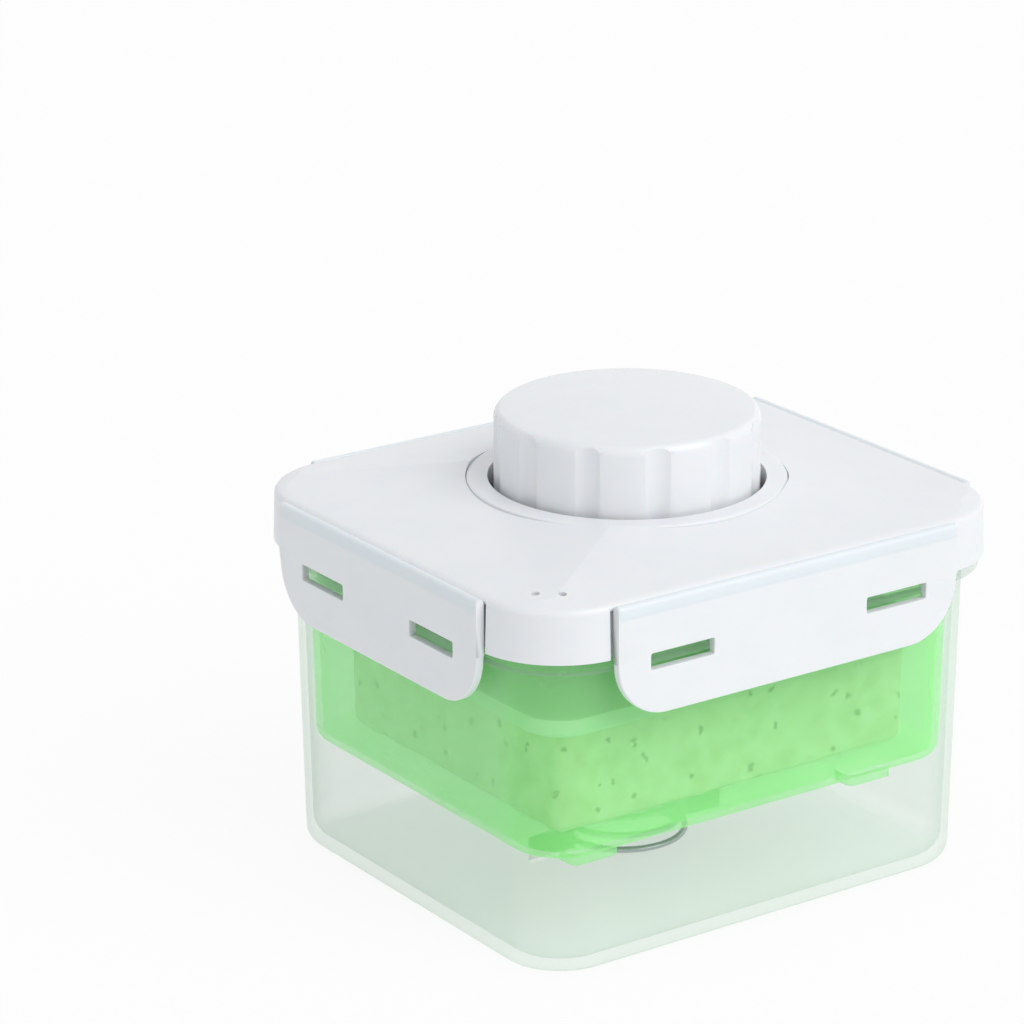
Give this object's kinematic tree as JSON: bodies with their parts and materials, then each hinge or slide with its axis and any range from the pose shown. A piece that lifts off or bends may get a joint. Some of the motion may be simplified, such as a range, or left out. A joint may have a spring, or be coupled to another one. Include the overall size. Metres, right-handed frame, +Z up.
{
  "type": "tofu press",
  "caption": "Rectangular tofu press: clear collector box, sprung green drip tray, press plate and a snap-flap lid whose round screw knob drives the plate down.",
  "frame": {"origin": "middle of the collector box's underside, on the surface it stands on", "axes": "+X along the long side, +Y along the short side, +Z up along the screw"},
  "size_m": [0.1624, 0.144, 0.1291],
  "materials": {
    "white_plastic": "smooth moulded white polypropylene",
    "frosted_plastic": "clear, slightly frosted polypropylene",
    "green_plastic": "translucent green polypropylene",
    "tofu": null,
    "silicone": "matte silicone",
    "spring_steel": "drawn stainless wire",
    "screw_steel": "stainless screw"
  },
  "bodies": {
    "housing": {"container": "frosted_plastic", "compression_spring": "spring_steel", "lid_shell": "white_plastic", "lid_gasket": "silicone", "thread_collar": "white_plastic"},
    "tray": {"drip_tray": "green_plastic", "tofu_block": "tofu"},
    "presser": {"press_plate": "white_plastic", "pressure_foot": "white_plastic", "foot_retainer": "white_plastic"},
    "knob": {"screw_stem": "white_plastic", "knob_shell": "white_plastic", "knob_screw": "screw_steel"},
    "front_flap": {"flap_front": "white_plastic"},
    "back_flap": {"flap_back": "white_plastic"},
    "left_flap": {"flap_left": "white_plastic"},
    "right_flap": {"flap_right": "white_plastic"}
  },
  "joints": [
    {"name": "press_travel", "type": "slide", "parent": "housing", "child": "presser", "axis": [0, 0, -1], "range_m": [0, 0.016], "deforming": ["tofu_block"]},
    {"name": "knob_turn", "type": "hinge", "parent": "presser", "child": "knob", "pos_m": [0, 0, 0.1], "axis": [0, 0, -1], "range_deg": [0, 360]},
    {"name": "tray_sink", "type": "slide", "parent": "housing", "child": "tray", "axis": [0, 0, -1], "range_m": [0, 0.008], "stiffness_N_per_m": 60, "springref_m": -0.083, "deforming": ["compression_spring"]},
    {"name": "front_flap_open", "type": "hinge", "parent": "housing", "child": "front_flap", "pos_m": [0, -0.0708, 0.1017], "axis": [-1, 0, 0], "range_deg": [0, 110]},
    {"name": "back_flap_open", "type": "hinge", "parent": "housing", "child": "back_flap", "pos_m": [0, 0.0708, 0.1017], "axis": [1, 0, 0], "range_deg": [0, 110]},
    {"name": "left_flap_open", "type": "hinge", "parent": "housing", "child": "left_flap", "pos_m": [-0.08005, 0, 0.1017], "axis": [0, 1, 0], "range_deg": [0, 110]},
    {"name": "right_flap_open", "type": "hinge", "parent": "housing", "child": "right_flap", "pos_m": [0.08005, 0, 0.1017], "axis": [0, -1, 0], "range_deg": [0, 110]}
  ],
  "couplings": [
    {"joint": "knob_turn", "follows": "press_travel", "rad_per_m": 392.7},
    {"joint": "tray_sink", "follows": "press_travel", "ratio": 0.5}
  ]
}
